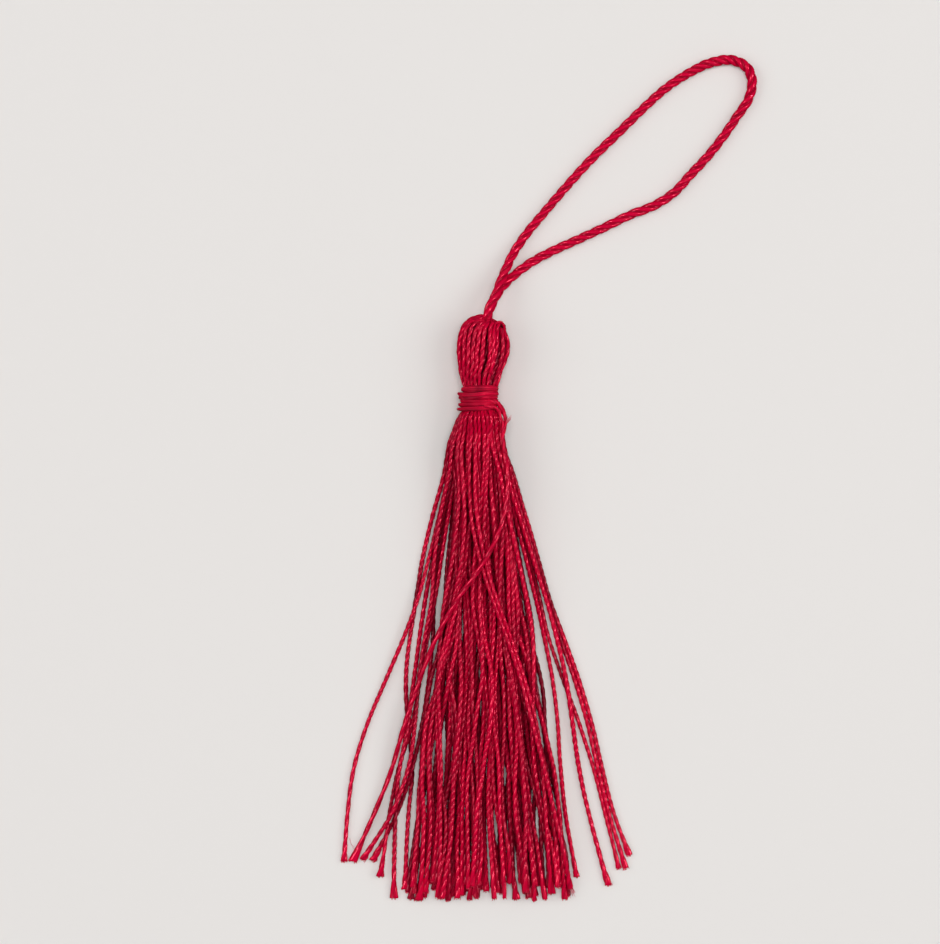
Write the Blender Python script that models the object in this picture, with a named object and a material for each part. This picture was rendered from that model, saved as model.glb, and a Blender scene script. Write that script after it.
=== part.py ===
# A silk tassel lying flat: a hank of two-ply yarn folded over a twisted hanging
# cord and bound round the neck with six turns of the same yarn.
#
# Tables and named sizes are in millimetres, meshes in metres. +Y runs from the
# skirt's tips to the cord's loop, +X to the right seen from above, +Z up. The
# origin is under the middle of the tassel's box, the cord left out.

import math

import bmesh
import bpy
import numpy as np
from mathutils import Vector

MM = 0.001

# Yarn
YARN = 0.62               # width of one two-ply yarn
SEED = 9                  # of the small differences between strands
STRAND_COUNT = 92
STRAND_SIDE = 0.37        # a strand's square section in the fan
ROOT_SIDE = 0.29          # and at its root
ROOT_PITCH = 0.53         # yarns squeezed together at the roots
SKIRT_PITCH = 0.62        # and lying side by side in the fan

# Neck and skirt along Y
NECK_X, NECK_Z = -0.9, 3.0
ROOT_X, ROOT_Z = -0.9, 2.75
ROOT_Y = 23.4             # the strands part here, below the binding
ROOT_WIDE, ROOT_HIGH = 3.7, 2.15   # half sizes of the bundle there
GRID_X, GRID_Z = 0.13, 0.05   # shift of the oval against the grid of yarns in it
GRID_REACH = 9            # rows and columns of that grid on each side of the middle
FIRST_Y, LAST_Y = 23.8, -40.7   # rooted inside the head, and past the longest tip
SPREAD_Y = 10.0           # length over which the pitch opens up
TIP_LOW = -40.13
TIP_RAGGED = 2.9          # how far short of that the shortest ends
LAST_LENGTH = 1.5         # no point is nearer to the tip than this

# Where a strand would lie in the fan if it were alone
FAN_LEFT, FAN_RIGHT = -10.4, 11.4   # its outermost tips
FAN_POWER = 0.95          # how early it opens
MIXING = 1.5              # how far strands change places across it
MIXED_CORE = 0.3          # share of that for those in the middle of the neck
TIP_JITTER = 0.4
SWAYS = (1.5, 0.9)        # mm of wandering in about one wave and two
FIRST_WAVE = 0.9          # waves along the strand in the first of them
BUNDLING = 0.6            # how far neighbours draw together towards the tips
BUNDLES = 5.3             # and how many such bundles there are across the fan
TIE_BREAK = 0.001         # so that of any two strands one is meant to lie higher

# How the strands settle
RINGS = 13                # points along a strand, closer together near the neck
RING_CROWDING = 1.2
CHECKS = 6                # places along each length where strands are kept apart
PAST_TIP = 1.0            # they are kept apart this far past their tips
ROUNDS = 600
FALL_Y = 30.0             # length over which the pile comes down off the neck
PILE = 1.7                # half its height before it settles
GRAVITY = 0.035           # how far a strand falls in the first round
PULL = 0.25               # how much of the way home it is pulled
LAYERING = 0.18           # a strand from higher in the neck tends to lie on top
STIFFNESS = 0.3           # how much of a bend it takes out
SPACING = 1.6             # how briskly strands that are too close move apart

# Strands that part from the body or cross over it: where each lies at these
# shares of its length, in mm, how high it leaves the neck (-1 underside to 1
# top) and how far above the rest it starts before it settles.
SHARES = (0.0, 0.125, 0.25, 0.375, 0.5, 0.625, 0.75, 0.875, 1.0)
STRAYS = (
    # name          x at each share                                                      tip_y  height  over
    ("far_left",    (-4.3, -5.7, -7.4, -9.2, -11.9, -15.1, -17.85, -19.0, -19.5), -34.65, 0.1, 0.0),
    ("left_2",      (-4.55, -6.5, -8.5, -9.95, -10.95, -10.95, -10.4, -10.9, -11.25), -38.5, -0.3, -0.3),
    ("left_3",      (-4.0, -5.3, -7.2, -8.65, -9.65, -10.65, -12.4, -12.6, -12.6), -39.7, 0.0, 0.0),
    ("left_4",      (-3.8, -5.5, -6.9, -7.4, -8.65, -9.55, -10.25, -12.55, -17.0), -34.35, 0.4, 0.3),
    ("left_5",      (-3.6, -4.9, -6.4, -7.2, -7.55, -8.4, -9.55, -12.0, -15.65), -34.55, -0.5, 0.0),
    ("left_6",      (-3.3, -4.7, -5.9, -7.2, -8.6, -9.95, -11.8, -13.05, -14.45), -36.7, 0.0, 0.0),
    ("cross_left",  (2.8, 2.7, 1.0, -3.65, -7.5, -10.05, -12.15, -15.1, -18.45), -34.65, 0.5, 1.5),
    ("cross_right", (-2.2, -2.3, -1.1, 1.3, 3.95, 6.2, 8.15, 9.85, 11.45), -38.3, 0.9, 1.0),
    ("beside_it",   (-1.5, -1.5, -0.3, 2.0, 4.7, 6.7, 7.9, 8.5, 8.9), -39.0, 0.8, 0.6),
    ("right_1",     (2.8, 4.2, 6.55, 8.5, 11.1, 13.5, 15.4, 16.9, 19.5), -33.8, 0.0, 0.0),
    ("right_2",     (2.7, 3.65, 6.05, 8.15, 10.75, 13.2, 15.1, 16.9, 19.05), -35.6, 0.35, 0.2),
    ("right_3",     (2.5, 3.2, 5.4, 7.35, 9.1, 11.85, 14.45, 16.45, 18.25), -35.6, -0.3, 0.0),
    ("right_4",     (2.3, 3.35, 5.85, 8.45, 10.4, 11.75, 12.9, 14.6, 16.8), -37.9, 0.5, 0.4),
    ("right_5",     (2.1, 2.95, 5.0, 6.9, 8.4, 9.6, 10.15, 10.9, 12.4), -36.8, 0.2, 0.2),
)

# The folded yarns seen along Y: a bulb above the neck, and below it a collar
# where the yarns are still pressed together. Millimetres; half sizes.
HEAD_RIBS = 24
HEAD_SECTIONS = (
    # y,    middle_x, half_width, middle_z, half_height, rib
    (40.15, -0.60, 0.75, 3.20, 0.60, 0.10),
    (39.90, -0.60, 1.55, 3.20, 1.30, 0.22),
    (39.30, -0.55, 2.40, 3.20, 2.10, 0.30),
    (38.40, -0.45, 3.00, 3.15, 2.75, 0.32),
    (37.10, -0.40, 3.50, 2.95, 3.30, 0.32),
    (35.70, -0.40, 3.68, 2.90, 3.50, 0.32),
    (34.00, -0.58, 3.38, 2.90, 3.30, 0.32),
    (32.30, -0.80, 2.88, 2.95, 2.80, 0.28),
    (31.15, -0.90, 2.36, 3.00, 2.36, 0.22),
    (30.70, -0.90, 2.05, 3.00, 2.05, 0.12),
    (26.75, -0.90, 2.05, 3.00, 2.05, 0.12),
    (26.30, -0.90, 2.45, 3.00, 2.35, 0.18),
    (25.20, -0.90, 3.05, 2.90, 2.45, 0.22),
    (23.40, -0.90, 3.80, 2.75, 2.35, 0.22),
)
NECK_TOP, HEAD_TOP = 30.7, 40.15
HEAD_LEAN = 0.35          # radians that the ribs lean between the two

# One bight stands proud of the head's right shoulder.
BIGHT_SIDE = 0.55
BIGHT = (
    # x,    y,     z
    (0.55, 38.6, 4.9),
    (0.95, 39.3, 4.7),
    (1.75, 39.6, 4.3),
    (2.45, 39.2, 3.8),
    (2.80, 38.2, 3.5),
    (2.85, 37.0, 3.5),
)

BINDING_INSIDE = 2.35     # 0.3 mm off the neck
BINDING_SIDES = 22
BINDING_SLANT = 0.05      # mm along Y for each mm across: the turns lie aslant
GROOVE = 0.2              # how far the grooves lie under the turns
TURN_HALF = 0.27          # from a turn's crown to the groove beside it
TURNS = (
    # y of a turn's crown, its radius
    (30.10, 2.70),
    (29.55, 2.62),
    (28.95, 2.82),
    (28.40, 2.60),
    (27.85, 2.76),
    (27.35, 2.66),
)

# The binding's two tied ends leave it on the right and lie along the skirt.
TAIL = 0.5
OUTER_TAIL = (
    # x,   y,     z
    (1.55, 28.3, 4.0),
    (2.35, 27.5, 4.1),
    (2.90, 26.4, 4.1),
    (3.05, 25.4, 4.2),
    (2.95, 24.3, 4.45),
    (2.75, 23.2, 4.7),
    (2.85, 21.6, 4.85),
)
INNER_TAIL = (
    # x,   y,     z
    (0.70, 28.2, 5.15),
    (1.35, 27.1, 5.45),
    (1.90, 25.9, 5.4),
    (2.15, 24.6, 5.25),
)

# The hanging cord: three plies, out of the head, round its loop and back under
# itself. Both legs leave the head one above the other and come down on the
# table as they part.
CORD = 1.24
CORD_PLIES = 3
CORD_GROOVE = 0.46        # distance of the grooves from the cord's axis
CORD_SHOULDER = 0.60      # and of a ply's flanks
CORD_FLANK = 0.5          # radians from the middle of a ply to a flank
CORD_TWIST = 5.3          # length of one full turn of the plies
CORD_STEPS = 8            # rings in each turn
CORD_FINE = 40            # places read between two points of the route
CORD_ROUTE = (
    # x,     y,     z
    (0.10, 40.65, 3.80),
    (0.45, 41.65, 3.62),
    (1.15, 43.00, 3.20),
    (1.85, 44.55, 2.58),
    (2.50, 46.20, 1.86),
    (3.64, 48.80, 1.02),
    (5.15, 51.50, 0.66),
    (7.48, 54.10, 0.63),
    (10.50, 57.80, 0.63),
    (14.20, 61.70, 0.63),
    (18.20, 65.65, 0.63),
    (21.50, 68.80, 0.63),
    (24.80, 71.40, 0.63),
    (27.80, 73.60, 0.63),
    (30.80, 75.00, 0.63),
    (33.80, 75.25, 0.63),
    (35.85, 74.20, 0.63),
    (36.50, 72.40, 0.63),
    (36.10, 70.10, 0.63),
    (34.45, 67.40, 0.63),
    (32.10, 64.40, 0.63),
    (30.10, 61.80, 0.63),
    (28.00, 59.45, 0.63),
    (25.80, 57.15, 0.63),
    (22.80, 55.35, 0.63),
    (19.80, 54.10, 0.63),
    (16.10, 52.50, 0.63),
    (12.15, 50.50, 0.63),
    (8.85, 48.85, 0.63),
    (6.20, 47.50, 0.63),
    (4.20, 46.05, 0.74),
    (2.80, 44.65, 1.12),
    (1.85, 43.50, 1.62),
    (0.80, 41.85, 2.20),
    (0.15, 40.65, 2.45),
)


# ---------------------------------------------------------------- the strands

def smooth_through(shares, values, at):
    """A smooth curve through a table's values, read at the given shares."""
    shares = np.asarray(shares)
    values = np.asarray(values)
    slopes = np.gradient(values, shares)
    at = np.clip(at, shares[0], shares[-1])
    i = np.clip(np.searchsorted(shares, at, side="right") - 1, 0, len(shares) - 2)
    gap = shares[i + 1] - shares[i]
    u = (at - shares[i]) / gap
    return ((2 * u**3 - 3 * u**2 + 1) * values[i]
            + (u**3 - 2 * u**2 + u) * gap * slopes[i]
            + (3 * u**2 - 2 * u**3) * values[i + 1]
            + (u**3 - u**2) * gap * slopes[i + 1])


def root_slots():
    """Places of the yarns where they part: a close-packed grid inside an oval."""
    slots = []
    reach = range(-GRID_REACH, GRID_REACH + 1)
    for row in reach:
        for column in reach:
            x = (column + 0.5 * (row % 2)) * ROOT_PITCH
            z = row * ROOT_PITCH * math.sqrt(3) / 2
            oval = math.hypot((x - GRID_X) / ROOT_WIDE, (z - GRID_Z) / ROOT_HIGH)
            slots.append((round(oval, 6), ROOT_X + x, ROOT_Z + z))
    slots.sort()
    return np.array([(x, z) for _, x, z in slots[:STRAND_COUNT]])


def strand_targets(ys):
    """Where each strand would lie if it were alone: x in each ring, tip and height."""
    rng = np.random.default_rng(SEED)
    slots = root_slots()
    x = np.zeros((STRAND_COUNT, len(ys)))
    tip_y = np.zeros(STRAND_COUNT)
    height = (slots[:, 1] - ROOT_Z) / ROOT_HIGH
    free = list(range(STRAND_COUNT))

    for _, places, tip, root_height, over in STRAYS:
        wanted = (places[0], ROOT_Z + root_height * ROOT_HIGH)
        strand = min(free, key=lambda s: math.dist(slots[s], wanted))
        free.remove(strand)
        share = (ROOT_Y - ys) / (ROOT_Y - tip)
        x[strand] = smooth_through(SHARES, (slots[strand, 0],) + places[1:], share)
        tip_slope = (places[-1] - places[-2]) / (SHARES[-1] - SHARES[-2])
        x[strand] += np.maximum(share - 1, 0) * tip_slope
        tip_y[strand] = tip
        height[strand] += over

    mixing = MIXING * (MIXED_CORE + np.abs(height[free]))
    order = slots[free, 0] + rng.uniform(-1, 1, len(free)) * mixing
    rank = np.argsort(np.argsort(order))
    for place, strand in zip(rank, free):
        across = (place + 0.5) / len(free)
        tip_x = FAN_LEFT + (FAN_RIGHT - FAN_LEFT) * across + TIP_JITTER * rng.uniform(-1, 1)
        tip_y[strand] = TIP_LOW + TIP_RAGGED * rng.uniform(0, 1)
        share = np.clip((ROOT_Y - ys) / (ROOT_Y - tip_y[strand]), 0, 1)
        fan = 1 - (1 - share) ** FAN_POWER
        sway = rng.uniform(-1, 1, len(SWAYS)) * SWAYS
        start = rng.uniform(0, 2 * math.pi, len(SWAYS))
        bundle = BUNDLING * share * np.sin(2 * math.pi * (BUNDLES * across + share / 2))
        wave = sum(sway[n] * np.sin(2 * math.pi * (FIRST_WAVE + n) * share + start[n])
                   for n in range(len(SWAYS)))
        x[strand] = slots[strand, 0] + (tip_x - slots[strand, 0]) * fan + bundle
        x[strand] += 4 * share * (1 - share) * wave
    height += TIE_BREAK * np.arange(STRAND_COUNT)
    return slots, x, tip_y, height


def bend(lines):
    """How far each inner point lies from the middle of its two neighbours."""
    return 0.5 * (lines[:, :-2] + lines[:, 2:]) - lines[:, 1:-1]


def opened_at(y):
    """How far the squeezed yarns have opened out at y, from 0 at the roots to 1."""
    return np.clip((ROOT_Y - y) / SPREAD_Y, 0, 1)


def settle_strands():
    """Let the strands down on the table and on each other.

    Each strand is a run of straight lengths between RINGS points. Strands are
    pushed apart at several places along every length, so they clear each other
    between their points too.
    """
    share = (np.arange(RINGS) / (RINGS - 1)) ** RING_CROWDING
    ys = FIRST_Y + (LAST_Y - FIRST_Y) * share
    slots, target, tip_y, height = strand_targets(ys)

    between = np.arange((RINGS - 1) * CHECKS + 1) / CHECKS
    weight = np.maximum(0, 1 - np.abs(between[None, :] - np.arange(RINGS)[:, None]))
    back = weight.T / weight.sum(1)
    fine_ys = ys @ weight

    fallen = np.clip((ROOT_Y - ys) / FALL_Y, 0, 1)
    raised = (1 - fallen) ** 2
    x = target.copy()
    z = slots[:, 1:] * raised + (YARN / 2 + (height[:, None] + 1) * PILE) * (1 - raised)
    above = LAYERING * np.sign(height[:, None, None] - height[None, :, None])
    pitch = ROOT_PITCH + (SKIRT_PITCH - ROOT_PITCH) * opened_at(fine_ys)
    there = fine_ys[None, :] >= tip_y[:, None] - PAST_TIP
    pair = there[:, None, :] & there[None, :, :] & ~np.eye(STRAND_COUNT, dtype=bool)[:, :, None]
    for turn in range(ROUNDS):
        lively = (1 - turn / ROUNDS) ** 2        # the pulls fade and the spacing wins
        z -= GRAVITY * lively
        x += PULL * lively * (target - x)
        x[:, 1:-1] += STIFFNESS * lively * bend(x - target)
        z[:, 1:-1] += STIFFNESS * lively * bend(z)
        fine_x, fine_z = x @ weight, z @ weight
        dx = fine_x[:, None, :] - fine_x[None, :, :]
        dz = fine_z[:, None, :] - fine_z[None, :, :]
        apart = np.sqrt(dx * dx + dz * dz) + 1e-9
        push = np.where(pair & (apart < pitch), 0.5 * (pitch - apart) / apart, 0.0)
        crowd = np.sqrt(np.maximum((push > 0).sum(1), 1))
        x += SPACING * ((push * dx).sum(1) / crowd) @ back
        z += SPACING * ((push * (dz + above)).sum(1) / crowd) @ back
        z = np.maximum(np.round(z, 5), YARN / 2)     # rounded, so that small errors
        x = np.round(x, 5)                           # can't grow into another layout
        x[:, 0], z[:, 0] = slots[:, 0], slots[:, 1]
    return ys, x, z, tip_y


def tube(mesh, rings):
    """Skin a run of rings of points and close both ends."""
    loops = [[mesh.verts.new(point * MM) for point in ring] for ring in rings]
    for near, far in zip(loops, loops[1:]):
        for i in range(len(near)):
            j = (i + 1) % len(near)
            mesh.faces.new((near[i], near[j], far[j], far[i]))
    mesh.faces.new(loops[0][::-1])
    mesh.faces.new(loops[-1])


def new_object(name, mesh, material):
    """Make a closed mesh with outward faces into a named object."""
    bmesh.ops.recalc_face_normals(mesh, faces=mesh.faces)
    data = bpy.data.meshes.new(name)
    mesh.to_mesh(data)
    mesh.free()
    data.materials.append(material)
    thing = bpy.data.objects.new(name, data)
    bpy.context.collection.objects.link(thing)
    return thing


def sweep_frames(points):
    """Directions across and over a path that never stands upright."""
    frames = []
    for i, point in enumerate(points):
        ahead = points[min(i + 1, len(points) - 1)] - points[max(i - 1, 0)]
        across = Vector((ahead.y, -ahead.x, 0)).normalized()
        over = across.cross(ahead).normalized()
        frames.append((point, across, over))
    return frames


def strand_path(ys, xs, zs, tip_y):
    """Centre line of one strand's solid, from inside the head to its tip."""
    points = []
    sink = (YARN - STRAND_SIDE) / 2          # the solid is thinner than the yarn
    for x, y, z in zip(xs, ys, zs):
        if y < tip_y + LAST_LENGTH:
            break
        points.append(Vector((x, y, z - sink * opened_at(y))))
    x_tip = float(np.interp(-tip_y, -ys, xs))
    z_tip = float(np.interp(-tip_y, -ys, zs))
    points.append(Vector((x_tip, tip_y, z_tip - sink)))
    return points


def add_strand(mesh, points):
    """A strand with a square section that stays level, so it lies flat on the table."""
    rings = []
    for point, across, _ in sweep_frames(points):
        half = (ROOT_SIDE + (STRAND_SIDE - ROOT_SIDE) * opened_at(point.y)) / 2
        side, up = across * half, Vector((0, 0, half))
        rings.append([point - side - up, point - side + up, point + side + up, point + side - up])
    tube(mesh, rings)


# ------------------------------------------------------- head, binding, cord

def ribbed_ring(y, middle_x, half_width, middle_z, half_height, rib):
    """One section of the head: an oval of ridges, cut flat where it meets the table."""
    lean = HEAD_LEAN * max(0.0, y - NECK_TOP) / (HEAD_TOP - NECK_TOP)
    ring = []
    for i in range(2 * HEAD_RIBS):
        turn = math.pi * i / HEAD_RIBS - lean
        inward = rib if i % 2 else 0.0
        x = middle_x + (half_width - inward) * math.cos(turn)
        z = middle_z + (half_height - inward) * math.sin(turn)
        ring.append(Vector((x, y, max(z, 0.0))))
    return ring


def square_tube(mesh, points, side):
    """A short length of yarn with a square section."""
    half = side / 2
    rings = []
    for point, across, over in sweep_frames([Vector(p) for p in points]):
        rings.append([point - half * across - half * over, point - half * across + half * over,
                      point + half * across + half * over, point + half * across - half * over])
    tube(mesh, rings)


def build_head(material):
    """The bound head with its proud bight and the collar that the strands root in."""
    mesh = bmesh.new()
    tube(mesh, [ribbed_ring(*section) for section in HEAD_SECTIONS])
    head = new_object("head", mesh, material)
    mesh = bmesh.new()
    square_tube(mesh, BIGHT, BIGHT_SIDE)
    union(head, new_object("bight", mesh, material))
    return head


def build_strands(material):
    """Every strand of the skirt, still apart from the head."""
    mesh = bmesh.new()
    ys, xs, zs, tip_ys = settle_strands()
    for strand in range(STRAND_COUNT):
        add_strand(mesh, strand_path(ys, xs[strand], zs[strand], tip_ys[strand]))
    return new_object("strands", mesh, material)


def union(thing, other):
    """Join another closed solid to this one and drop the spare object."""
    modifier = thing.modifiers.new("join", "BOOLEAN")
    modifier.operation = "UNION"
    modifier.object = other
    evaluated = thing.evaluated_get(bpy.context.evaluated_depsgraph_get())
    joined = bpy.data.meshes.new_from_object(evaluated)
    thing.modifiers.clear()
    thing.data = joined
    bpy.data.objects.remove(other)


def build_tassel(material):
    tassel = build_head(material)
    union(tassel, build_strands(material))
    tassel.name = "tassel_yarns"
    return tassel


def build_binding(material):
    """Six turns wound round the neck, and the two ends of the same yarn."""
    outline = []
    for crown, radius in TURNS:
        outline += [(crown + TURN_HALF, radius - GROOVE), (crown, radius)]
    outline.append((TURNS[-1][0] - TURN_HALF, TURNS[-1][1] - GROOVE))
    outline += [(outline[-1][0], BINDING_INSIDE), (outline[0][0], BINDING_INSIDE)]

    mesh = bmesh.new()
    loops = []
    for y, radius in outline:
        ring = []
        for i in range(BINDING_SIDES):
            turn = 2 * math.pi * i / BINDING_SIDES
            x, z = radius * math.cos(turn), radius * math.sin(turn)
            point = Vector((NECK_X + x, y + BINDING_SLANT * x, NECK_Z + z))
            ring.append(mesh.verts.new(point * MM))
        loops.append(ring)
    for near, far in zip(loops, loops[1:] + loops[:1]):
        for i in range(BINDING_SIDES):
            j = (i + 1) % BINDING_SIDES
            mesh.faces.new((near[i], near[j], far[j], far[i]))
    binding = new_object("neck_binding", mesh, material)

    for name, route in (("outer_tail", OUTER_TAIL), ("inner_tail", INNER_TAIL)):
        mesh = bmesh.new()
        square_tube(mesh, route, TAIL)
        union(binding, new_object(name, mesh, material))
    return binding


def even_points(route, step):
    """Points at even steps along a smooth curve through a route."""
    route = np.array(route)
    run = np.concatenate(([0.0], np.cumsum(np.linalg.norm(np.diff(route, axis=0), axis=1))))
    fine = np.linspace(0, run[-1], CORD_FINE * len(route))
    curve = np.stack([smooth_through(run, route[:, axis], fine) for axis in range(3)], axis=1)
    length = np.concatenate(([0.0], np.cumsum(np.linalg.norm(np.diff(curve, axis=0), axis=1))))
    count = round(length[-1] / step)
    at = np.linspace(0, length[-1], count + 1)
    points = np.stack([np.interp(at, length, curve[:, axis]) for axis in range(3)], axis=1)
    return [Vector(point) for point in points]


def build_cord(material):
    """The twisted cord: a section of three plies turned as it runs along the loop."""
    radius = CORD / 2
    profile = []
    for ply in range(CORD_PLIES):
        middle = 2 * math.pi * ply / CORD_PLIES
        profile.append((middle - math.pi / CORD_PLIES, CORD_GROOVE))
        profile.append((middle - CORD_FLANK, CORD_SHOULDER))
        profile.append((middle, radius))
        profile.append((middle + CORD_FLANK, CORD_SHOULDER))
    points = even_points(CORD_ROUTE, CORD_TWIST / CORD_STEPS)
    rings = []
    for i, (point, across, over) in enumerate(sweep_frames(points)):
        twist = 2 * math.pi * i / CORD_STEPS
        rings.append([point + distance * (math.cos(angle + twist) * across
                                          + math.sin(angle + twist) * over)
                      for angle, distance in profile])
    mesh = bmesh.new()
    tube(mesh, rings)
    return new_object("hanging_cord", mesh, material)


def silk(name, colour, roughness):
    material = bpy.data.materials.new(name)
    material.use_nodes = True
    shader = material.node_tree.nodes["Principled BSDF"]
    shader.inputs["Base Color"].default_value = (*colour, 1.0)
    shader.inputs["Roughness"].default_value = roughness
    shader.inputs["Metallic"].default_value = 0.0
    return material


def main():
    for thing in list(bpy.data.objects):
        bpy.data.objects.remove(thing)
    build_tassel(silk("yarn", (0.33, 0.008, 0.028), 0.5))
    build_binding(silk("binding yarn", (0.30, 0.008, 0.030), 0.5))
    build_cord(silk("cord", (0.36, 0.010, 0.030), 0.5))


main()
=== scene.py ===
# Dresses the silk tassel: real twisted yarns in place of its plain solids, a
# wound neck and a three-ply hanging cord, lying on a pale table under a camera
# that looks straight down. Sizes are in millimetres, and mm turns them into metres.

import math

import bpy
import numpy as np
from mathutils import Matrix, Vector


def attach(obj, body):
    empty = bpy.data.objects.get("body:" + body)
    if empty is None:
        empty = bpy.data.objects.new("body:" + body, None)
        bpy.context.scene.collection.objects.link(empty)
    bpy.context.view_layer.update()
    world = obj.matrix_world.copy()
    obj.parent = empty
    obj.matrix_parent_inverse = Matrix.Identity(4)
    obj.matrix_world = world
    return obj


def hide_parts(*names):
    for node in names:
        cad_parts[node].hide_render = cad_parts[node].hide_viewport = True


mm = 0.001
fullTurn = 2 * math.pi
curveDetail = 30               # places read for each point of a route

print("loading the frame")
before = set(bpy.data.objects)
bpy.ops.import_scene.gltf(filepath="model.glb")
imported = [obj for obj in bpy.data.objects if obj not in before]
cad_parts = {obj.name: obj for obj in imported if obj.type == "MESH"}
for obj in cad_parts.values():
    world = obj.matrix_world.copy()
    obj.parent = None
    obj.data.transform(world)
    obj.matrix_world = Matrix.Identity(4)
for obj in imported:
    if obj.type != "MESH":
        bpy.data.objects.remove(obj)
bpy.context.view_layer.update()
scene = bpy.context.scene


# ---- small helpers

def makeActive(*things):
    bpy.ops.object.select_all(action="DESELECT")
    for thing in things:
        thing.select_set(True)
    bpy.context.view_layer.objects.active = things[0]


def newObject(name, data):
    thing = bpy.data.objects.new(name, data)
    scene.collection.objects.link(thing)
    return thing


def smoothThrough(places, values, at):
    # a smooth curve through a table's values, read at the given places
    places, values = np.asarray(places, float), np.asarray(values, float)
    slopes = np.gradient(values, places)
    at = np.clip(at, places[0], places[-1])
    i = np.clip(np.searchsorted(places, at, side="right") - 1, 0, len(places) - 2)
    gap = places[i + 1] - places[i]
    u = (at - places[i]) / gap
    return ((2 * u**3 - 3 * u**2 + 1) * values[i] + (u**3 - 2 * u**2 + u) * gap * slopes[i]
            + (3 * u**2 - 2 * u**3) * values[i + 1] + (u**3 - u**2) * gap * slopes[i + 1])


def evenPoints(route, step):
    # points at even steps along a smooth curve through a route
    route = np.array(route, float)
    run = np.concatenate(([0], np.cumsum(np.linalg.norm(np.diff(route, axis=0), axis=1))))
    fine = np.linspace(0, run[-1], curveDetail * len(route))
    curve = np.stack([smoothThrough(run, column, fine) for column in route.T], axis=1)
    length = np.concatenate(([0], np.cumsum(np.linalg.norm(np.diff(curve, axis=0), axis=1))))
    at = np.linspace(0, length[-1], max(3, round(length[-1] / step)) + 1)
    return np.stack([np.interp(at, length, column) for column in curve.T], axis=1)


def wandering(rng, count, most, wave):
    # a smooth random line between plus and minus the most, with a new value every so
    # many points; the settings give these two together
    knots = rng.uniform(-1, 1, int(count / wave) + 3)
    return most * smoothThrough(np.arange(len(knots)) * wave, knots, np.arange(count))


# ---- camera, table and light

view = {
    "lens": 150,           # long, so that height hardly shows
    "width": 129.0,        # of the table that the camera takes in
    "middle": (-2.26, 18.73),
    "nearest": 10.0,       # nothing nearer than this is drawn
}
table = {
    "size": 3000,
    "colour": (0.80, 0.783, 0.771),
    "roughness": 0.85,
    "specular": 0.2,
}
lights = (
    # name,          place in metres,      size, watts, what it lights
    ("overhead",     (0.05, 0.15, 1.30),   0.70, 7.6, "shape"),
    ("right box",    (0.90, 0.10, 0.75),   0.90, 3.8, "shape"),
    ("left box",     (-0.90, 0.10, 0.75),  0.90, 3.0, "shape"),
    ("right gleam",  (0.66, 0.10, 0.92),   0.22, 5.4, "gleam"),
    ("left gleam",   (-0.62, 0.05, 0.95),  0.22, 4.5, "gleam"),
)
lampColour = (1.0, 0.99, 0.98)
surroundings = {"colour": (1.0, 0.985, 0.97), "strength": 0.30}

print("setting the camera, the table and the lights")
cameraData = bpy.data.cameras.new("camera")
cameraData.lens = view["lens"]
cameraData.sensor_fit = "HORIZONTAL"
camera = newObject("camera", cameraData)
cameraHeight = view["width"] * view["lens"] / cameraData.sensor_width
camera.location = (view["middle"][0] * mm, view["middle"][1] * mm, cameraHeight * mm)
cameraData.clip_start = view["nearest"] * mm
scene.camera = camera
scene.view_settings.view_transform = "Standard"

for name, place, size, watts, purpose in lights:
    lamp = bpy.data.lights.new(name, "AREA")
    lamp.shape = "DISK"
    lamp.size = size
    lamp.energy = watts
    lamp.color = lampColour
    holder = newObject(name, lamp)
    holder.location = place
    holder.rotation_euler = (-Vector(place)).to_track_quat("-Z", "Y").to_euler()
    holder.visible_glossy = purpose == "gleam"
    holder.visible_diffuse = purpose == "shape"

world = bpy.data.worlds.new("surroundings")
scene.world = world
world.use_nodes = True
backdrop = world.node_tree.nodes["Background"]
backdrop.inputs["Color"].default_value = (*surroundings["colour"], 1)
backdrop.inputs["Strength"].default_value = surroundings["strength"]
world.cycles_visibility.glossy = False     # so that only the lights gleam


# ---- finishes

class Wire:
    # a material's socket that can be written into sums
    def __init__(self, finish, socket):
        self.finish = finish
        self.socket = socket

    def math(self, operation, first, second):
        return self.finish.node("Math", {"operation": operation}, {0: first, 1: second})

    def __add__(self, other):
        return self.math("ADD", self, other)

    def __mul__(self, other):
        return self.math("MULTIPLY", self, other)

    def __sub__(self, other):
        return self.math("SUBTRACT", self, other)

    def __rsub__(self, other):
        return self.math("SUBTRACT", other, self)


class Finish:
    # a material, and the one way that nodes are added to it
    def __init__(self, name, constants):
        self.material = bpy.data.materials.new(name)
        self.material.use_nodes = True
        self.tree = self.material.node_tree
        self.shader = self.tree.nodes["Principled BSDF"]
        for socket, value in constants.items():
            self.shader.inputs[socket].default_value = value

    def put(self, socket, value):
        if isinstance(value, Wire):
            self.tree.links.new(value.socket, socket)
        else:
            socket.default_value = value

    def node(self, kind, settings, sockets, output=0):
        node = self.tree.nodes.new("ShaderNode" + kind)
        for name, value in settings.items():
            setattr(node, name, value)
        for name, value in sockets.items():
            self.put(node.inputs[name], value)
        return Wire(self, node.outputs[output])

    def mix(self, share, first, second):
        # sockets 6 and 7 and output 2 are the colour ones of this node
        settings = {"data_type": "RGBA"}
        return self.node("Mix", settings, {"Factor": share, 6: first, 7: second}, output=2)

    def attribute(self, name, output):
        return self.node("Attribute", {"attribute_name": name}, {}, output)

    def noise(self, where, stretch, detail=2.0):
        # soft noise on a vector, stretched by a different amount each way
        spread = self.node("VectorMath", {"operation": "MULTIPLY"}, {0: where, 1: stretch})
        return self.node("TexNoise", {}, {"Vector": spread, "Scale": 1.0, "Detail": detail})

    def surface(self, **sockets):
        for name, value in sockets.items():
            self.put(self.shader.inputs[name.replace("_", " ")], value)
        return self.material


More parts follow.
